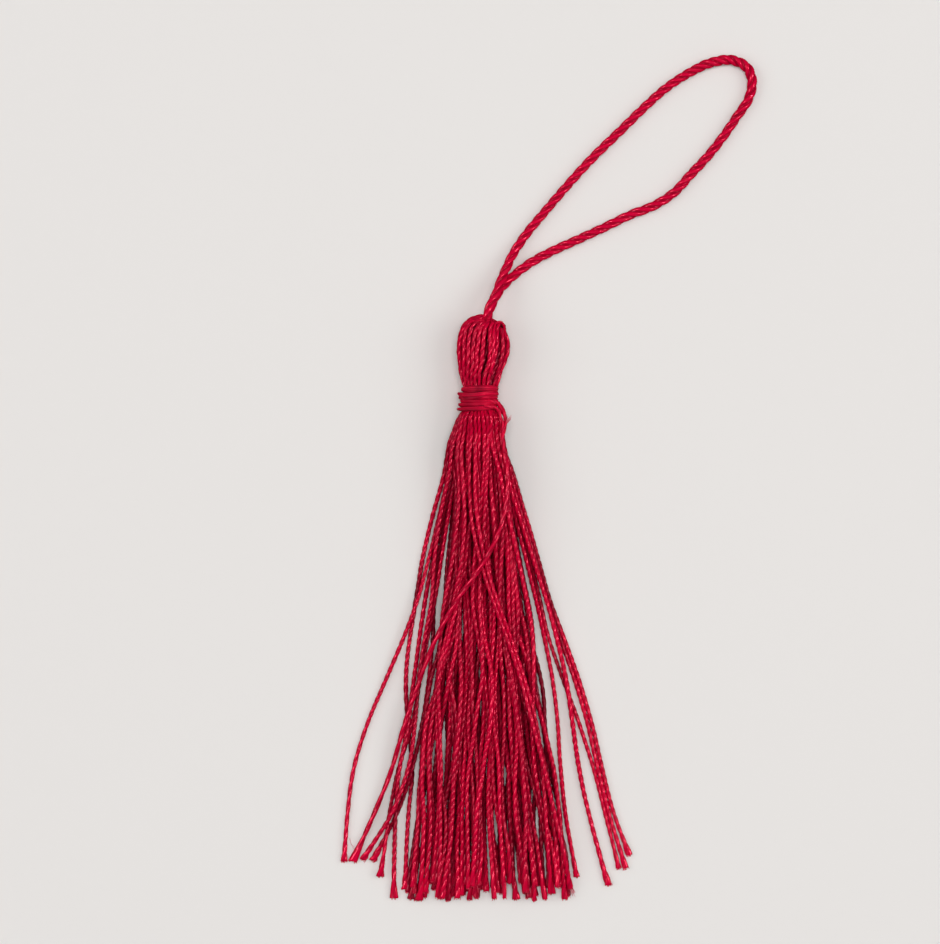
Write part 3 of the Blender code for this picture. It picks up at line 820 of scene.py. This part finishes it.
head = {
    "behind": 17,          # yarns round the back
    "behindFrom": 0.92,    # where they start at the left, in half turns
    "behindStray": 0.02,   # radians that one may lie off its place
    "under": 24,           # a second layer that shows in the gaps, drawn dark as painted shade
    "underStray": 0.12,    # share of a place that one may lie off it
    "underDepth": 0.56,
    "lean": -0.7,          # radians round the head from the neck to the top
    "pole": (-0.15, 39.6, 3.1),
    "inside": (29.2, 0.85),   # the front yarns start at this height inside the binding,
                              # drawn in to this share of the neck
    "tones": (0.68, 1.0),
    # painted shade: the under layer and the hollow's yarn are drawn this dark
    "underShade": (0.15, 0.4),
    # a yarn's width, of its full width: at these heights, and the loop's at its own
    "sizes": ((29, 30.5, 34, 39, 40), (0.72, 0.78, 1.04, 0.94, 0.85)),
    "loopSizes": ((29, 30.5, 34, 37.5, 38.6), (0.72, 0.78, 1.0, 0.9, 0.58)),
    "step": 0.5,           # between points along a yarn
    "thickening": (0.05, 5),
    "turning": (0.8, 7),
    "yarnLength": 13,
    "seed": 4,
    # the bulge that the yarns' crowns follow, as half sizes
    "rows": (
        # y,    middleX, halfWidth, middleZ, halfHeight
        (29.0, -0.90, 2.12, 3.00, 2.12),
        (30.4, -0.92, 2.30, 3.00, 2.25),
        (31.2, -0.90, 2.58, 3.00, 2.50),
        (32.3, -0.80, 2.92, 2.95, 2.80),
        (34.0, -0.58, 3.42, 2.95, 2.95),
        (35.7, -0.40, 3.70, 2.95, 3.10),
        (37.1, -0.40, 3.55, 3.00, 3.10),
        (38.4, -0.45, 3.05, 3.15, 2.78),
        (39.2, -0.60, 2.25, 3.20, 2.15),
        (39.7, -0.70, 1.30, 3.20, 1.40),
    ),
    # the yarns in front: x at each height, and the points over the top
    "heights": (30.66, 32.04, 33.41, 34.78, 36.15, 37.52, 38.40),
    "front": (
        ((-3.08, -3.48, -3.64, -3.69, -3.77, -3.56, -3.28),
         ((-2.62, 39.28, 3.4), (-1.75, 39.78, 3.6), (-0.75, 40.0, 3.7), (-0.2, 39.95, 3.5))),
        ((-2.77, -3.05, -3.07, -3.07, -3.06, -2.91, -2.66),
         ((-2.25, 39.00, 4.6), (-1.50, 39.45, 4.5), (-0.70, 39.68, 4.3), (-0.1, 39.65, 3.7))),
        ((-2.43, -2.59, -2.48, -2.48, -2.44, -2.26, -1.98),
         ((-1.62, 38.95, 5.05), (-0.98, 39.28, 4.85), (-0.40, 39.42, 4.5), (0.05, 39.4, 3.8))),
        ((-2.04, -2.07, -1.89, -1.93, -1.77, -1.59, -1.22),
         ((-0.90, 38.80, 5.4), (-0.45, 39.08, 5.05), (-0.10, 39.2, 4.6), (0.1, 39.2, 3.9))),
        ((-1.54, -1.59, -1.32, -1.38, -1.13, -0.99, -0.74),
         ((-0.45, 38.65, 5.55), (-0.10, 38.90, 5.1), (0.15, 39.0, 4.5), (0.2, 39.0, 3.8))),
        ((-1.00, -1.02, -0.72, -0.60, -0.46, -0.34, -0.12),
         ((0.08, 38.92, 5.35), (0.22, 39.22, 4.95), (0.30, 39.40, 4.4), (0.2, 39.3, 3.6))),
        ((-0.40, -0.20, 0.30, 0.46, 0.50, 0.46, 0.56),
         ((0.72, 38.80, 5.3), (0.78, 39.05, 4.9), (0.75, 39.15, 4.3), (0.6, 39.0, 3.5))),
        ((0.15, 0.42, 0.85, 1.15, 1.42, 1.42, 1.50),
         ((1.58, 38.62, 4.95), (1.62, 38.82, 4.5), (1.5, 38.85, 3.9), (1.2, 38.8, 3.4))),
        ((1.02, 1.45, 1.85, 2.13, 2.22, 2.12, 2.00),
         ((1.98, 38.10, 4.30), (1.92, 38.22, 3.9), (1.7, 38.25, 3.5), (1.3, 38.3, 3.2))),
    ),
    # a yarn drawn dark as painted shade closes the hollow under the loop
    "hollow": ((1.0, 37.4, 3.2), (1.5, 38.4, 3.4), (1.92, 38.92, 3.4), (2.25, 38.80, 3.2),
               (2.4, 38.2, 3.0), (2.4, 37.2, 2.9)),
    # one yarn stands up in a loop beside the cord, from neck to neck
    "loop": ((0.62, 32.0, 5.30), (0.90, 34.6, 5.70), (1.00, 36.8, 5.85), (1.02, 38.2, 5.50),
             (1.12, 38.78, 5.15), (1.42, 39.10, 4.85), (1.88, 39.16, 4.60), (2.26, 38.96, 4.30),
             (2.36, 38.5, 4.0), (2.52, 37.7, 3.7), (2.92, 36.2, 3.3), (2.74, 34.8, 3.1),
             (2.28, 33.41, 3.05), (1.82, 32.04, 3.0), (1.45, 30.66, 3.0), (1.1, 29.2, 3.0)),
}


def crownHeight(x, y, depth):
    # how high a yarn lies on the head's bulge
    rows = np.array(head["rows"]).T
    middleX, halfWidth, middleZ, halfHeight = (np.interp(y, rows[0], row) for row in rows[1:])
    across = np.clip((x - middleX) / (halfWidth - depth), -1, 1)
    return middleZ + (halfHeight - depth) * np.sqrt(1 - across ** 2)


def frontLine(places, fold):
    # a yarn on the front, from inside the binding over the bulge and into the top
    insideY, drawnIn = head["inside"]
    y = np.array((insideY,) + head["heights"])
    x = np.array((neck["x"] + drawnIn * (places[0] - neck["x"]),) + places)
    crown = np.stack([x, y, crownHeight(x, y, yarn["width"] / 2)], axis=1)
    return np.concatenate((crown, fold, [head["pole"]]))


def roundLine(angle, depth):
    # a yarn at an angle round the head, from inside the binding to the top
    rows = np.array(head["rows"])
    y = rows[:, 0]
    turn = angle + head["lean"] * (y - y[0]) / (y[-1] - y[0])
    x = rows[:, 1] + (rows[:, 2] - depth) * np.cos(turn)
    z = rows[:, 3] + (rows[:, 4] - depth) * np.sin(turn)
    return np.concatenate((np.stack([x, y, z], axis=1), [head["pole"]]))


print("folding the head's yarns")
shortYarn = straightRope("short yarn", yarn, head["yarnLength"])
rng = np.random.default_rng(head["seed"])
headLines = [(frontLine(places, fold), "tones") for places, fold in head["front"]]
for n in range(head["behind"]):
    angle = head["behindFrom"] + (2 - head["behindFrom"]) * (n + 0.5) / head["behind"]
    angle = math.pi * angle - head["lean"] / 2
    angle += head["behindStray"] * rng.uniform(-1, 1)
    headLines.append((roundLine(angle, yarn["width"] / 2), "tones"))
for n in range(head["under"]):
    angle = fullTurn * (n + head["underStray"] * rng.uniform(-1, 1)) / head["under"]
    headLines.append((roundLine(angle, yarn["width"] / 2 + head["underDepth"]), "underShade"))
headLines.append((head["hollow"], "underShade"))
headLines.append((head["loop"], "tones"))
laidHead = []
for line, tones in headLines:
    points = evenPoints(line, head["step"])
    heights, widths = head["loopSizes" if line is head["loop"] else "sizes"]
    sizes = np.interp(points[:, 1], heights, widths)
    sizes = sizes * (1 + wandering(rng, len(points), *head["thickening"]))
    points[:, 2] = np.maximum(points[:, 2], sizes * yarn["width"] / 2)
    tilts = rng.uniform(0, fullTurn) + wandering(rng, len(points), *head["turning"])
    toneAndShade, shift = rng.uniform(*head[tones]), rng.uniform(0, strandLook["streakRun"])
    laidHead.append(bentRope(shortYarn, points, sizes, tilts, toneAndShade, shift))
joined("folded_head", laidHead, yarnFinish, "tassel_yarns")


# ---- the binding and its two tied ends

binding = {
    "turns": (
        # y and x of each turn's crown at the right, and at the left
        (30.10, 1.66, 30.06, -3.55),
        (29.38, 1.60, 29.46, -4.05),
        (28.86, 1.60, 28.80, -3.70),
        (28.38, 1.60, 28.30, -3.64),
        (28.00, 1.58, 27.86, -3.90),
        (27.62, 1.44, 27.22, -4.06),
    ),
    "stepsPerTurn": 40,
    "overlap": 0.2,        # turns that it goes on past its first and last crown
    "radius": 2.4,         # about half of its mean width
    "size": 1.2,
    "high": 0.95,          # height of a turn, of its width
    "middleShade": (0.4, 6),       # how much painted shade darkens its middle, the part facing up, and how suddenly
    "tips": (0.28, 4),     # how much narrower it is at the left, and how suddenly
    # how far on, how deep and how bright each winding lies; the ones under the first are drawn
    # darker as painted shade
    "layers": ((0.0, 0.0, 1.0), (0.5, 0.18, 0.55), (0.27, 0.28, 0.70)),
    "slack": (0.07, 7),        # how a turn wanders along the neck
    "hollows": (0.03, 9),      # and into it
    "thickening": (0.12, 9),   # how its width wanders
    "turning": (0.3, 20),      # how far it turns over, in radians
    "mottle": (0.28, 2),       # and its brightness
    "dip": (1.33, 0.13, 0.30),   # the second turn sinks in front: where, over what
                                 # share of a turn and how far
    "seed": 3,
}
bindingYarn = {**yarn, "plies": 5, "groove": 0.16, "gather": 0.05, "sides": 30, "flat": 0.62,
               "twist": 0.0}
tails = (
    # x, y, z and size, of the full yarn
    ((0.10, 28.44, 4.90, 0.80), (0.66, 28.38, 4.85, 1.05), (1.20, 28.24, 4.55, 1.25),
     (1.60, 27.97, 4.25, 1.30), (1.88, 27.62, 4.10, 1.25), (2.05, 27.25, 4.10, 1.12),
     (2.32, 26.80, 4.15, 0.92), (2.54, 26.21, 4.20, 0.82), (2.60, 25.59, 4.25, 0.85),
     (2.54, 25.04, 4.35, 0.88), (2.39, 24.49, 4.50, 0.85), (2.24, 23.67, 4.65, 0.80),
     (2.29, 22.57, 4.72, 0.80), (2.47, 21.33, 4.76, 0.90)),
    ((-0.40, 27.66, 5.35, 0.80), (0.10, 27.66, 5.40, 0.85), (0.62, 27.62, 5.25, 0.85),
     (1.24, 27.48, 5.00, 0.82), (1.64, 27.16, 4.85, 0.76), (1.78, 26.70, 4.80, 0.68),
     (1.88, 26.27, 4.80, 0.64), (2.04, 25.84, 4.85, 0.65), (2.26, 25.18, 4.85, 0.75),
     (2.20, 24.50, 4.80, 0.78), (2.15, 23.60, 4.45, 0.80), (2.30, 22.40, 3.80, 0.85)),
)
tailLook = {"length": 8, "step": 0.4, "toneAndShade": 0.9, "turned": (0, 6)}

print("winding the binding")
rng = np.random.default_rng(binding["seed"])
turns = np.array(binding["turns"])
halves = np.arange(2 * len(turns)) / 2
count = binding["stepsPerTurn"] * len(turns)
windingLength = fullTurn * binding["radius"] * len(turns)
windingYarn = straightRope("winding yarn", bindingYarn, windingLength)
dipMiddle, dipReach, dipDepth = binding["dip"]
laidTurns = []
for onwards, depth, toneAndShade in binding["layers"]:
    wound = np.linspace(-binding["overlap"], halves[-1] + binding["overlap"], count)
    y = smoothThrough(halves, turns[:, (0, 2)].ravel(), wound + onwards)
    y = y - dipDepth * np.exp(-((wound - dipMiddle) / dipReach) ** 2)
    y = y + wandering(rng, count, *binding["slack"])
    reach = smoothThrough(halves, abs(turns[:, (1, 3)] - neck["x"]).ravel(), wound)
    thick = yarn["width"] * binding["size"] * bindingYarn["flat"] / 2
    reach = reach - thick + wandering(rng, count, *binding["hollows"]) - depth
    around = fullTurn * wound
    points = np.stack([neck["x"] + reach * np.cos(around), y,
                       neck["z"] + binding["high"] * reach * np.sin(around)], axis=1)
    sizes = binding["size"] * (1 + wandering(rng, count, *binding["thickening"]))
    narrower, sudden = binding["tips"]
    sizes = sizes * (1 - narrower * np.maximum(0, -np.cos(around)) ** sudden)
    # painted shade on the top of each turn
    middleShade, sudden = binding["middleShade"]
    tones = toneAndShade * (1 - middleShade * np.maximum(0, np.sin(around)) ** sudden)
    tones = np.clip(tones * (1 + wandering(rng, count, *binding["mottle"])), 0, 1)
    points[:, 2] = np.maximum(points[:, 2], sizes * thick / binding["size"])
    tilts = wandering(rng, count, *binding["turning"])
    laidTurns.append(bentRope(windingYarn, points, sizes, tilts, tones))
tailYarn = straightRope("tail yarn", yarn, tailLook["length"])
for route in tails:
    points = evenPoints([place[:3] for place in route], tailLook["step"])
    along = np.linspace(0, 1, len(points))
    sizes = np.interp(along, np.linspace(0, 1, len(route)), [place[3] for place in route])
    tilt = rng.uniform(*tailLook["turned"])
    laidTurns.append(bentRope(tailYarn, points, sizes, tilt, tailLook["toneAndShade"]))
joined("wound_binding", laidTurns, bindingFinish, "neck_binding")


# ---- cut ends: short filaments that stand out of each yarn's end

ends = {
    "filaments": 12,       # in each cut end
    "thickness": 0.12,
    "inside": 0.5,         # how far in they start
    "drawnIn": 0.3,        # and how much nearer the middle
    "rim": 0.85,           # the outermost lie at this share of the end's half width
    "outside": (0.0, 0.26),   # how far they stand out
    "spread": 0.5,         # how far they lean sideways, of that length
    "droop": 0.15,         # and down
    "taper": 0.6,          # thickness at the tip, of that at the root
    "seed": 12,
}
fraying = {
    "reach": (0.6, 1.0),   # share of the way that a loose filament goes
    "flat": (1, 1, 0.4),   # they spread less upwards than sideways
    "bow": 0.15,           # how far its middle strays
}
frays = (
    # x, y and z of the root and of the end, count, spread, thickness
    ((2.70, 25.25, 4.35), (3.15, 26.30, 4.5), 24, 0.32, 0.05),     # off the binding's tail
    ((-18.75, -31.5, 0.5), (-18.15, -33.3, 0.4), 2, 0.25, 0.05),   # by the outermost strand
    ((11.5, -38.1, 0.5), (11.95, -39.5, 0.3), 14, 0.4, 0.06),
)


def filamentPiece(name, hairs, finish, node):
    # thin tapered tubes along short lines of points: (points, thickness)
    line = bpy.data.curves.new(name, "CURVE")
    line.dimensions = "3D"
    line.bevel_depth = mm / 2
    line.bevel_resolution = 0
    line.use_fill_caps = True
    for points, thickness in hairs:
        addStretch(line, points, np.linspace(1, ends["taper"], len(points)) * thickness)
    makeActive(newObject(name, line))
    bpy.ops.object.convert(target="MESH")
    joined(name, [bpy.context.object], finish, node)


def brush(end, direction, radius, flare):
    # a cut end's filaments, lying flat on one another
    direction = direction / np.linalg.norm(direction)
    across = np.cross(direction, (0, 0, 1))
    hairs = []
    for n in range(ends["filaments"]):
        angle, out = rng.uniform(0, fullTurn), math.sqrt(rng.uniform(0, 1))
        wide = across * math.cos(angle) * (1 + flare)
        high = np.array((0, 0, 1)) * math.sin(angle) * (1 - strandLook["sink"])
        start = end + radius * out * ends["rim"] * (wide + high)
        far = rng.uniform(*ends["outside"])
        tip = start + direction * far + across * ends["spread"] * far * rng.uniform(-1, 1)
        tip[2] = max(tip[2] - ends["droop"] * far, ends["thickness"] / 2)
        inner = start - direction * ends["inside"] + ends["drawnIn"] * (end - start)
        hairs.append((np.array([inner, start, tip]), ends["thickness"]))
    return hairs


print("fraying the cut ends")
rng = np.random.default_rng(ends["seed"])
cutEnds = [hair for tip in tips for hair in brush(*tip)]
looseHairs = []
for root, end, count, spread, thickness in frays:
    root = np.array(root)
    for n in range(count):
        far = np.array(end) + spread * rng.uniform(-1, 1, 3) * fraying["flat"]
        far = root + (far - root) * rng.uniform(*fraying["reach"])
        middle = (root + far) / 2 + fraying["bow"] * rng.uniform(-1, 1, 3)
        looseHairs.append((np.array([root, middle, far]), thickness))
filamentPiece("cut_ends", cutEnds, endFinish, "tassel_yarns")
filamentPiece("loose_filaments", looseHairs, hairFinish, "tassel_yarns")

for master in (straightCord, longYarn, shortYarn, windingYarn, tailYarn):
    bpy.data.objects.remove(master)
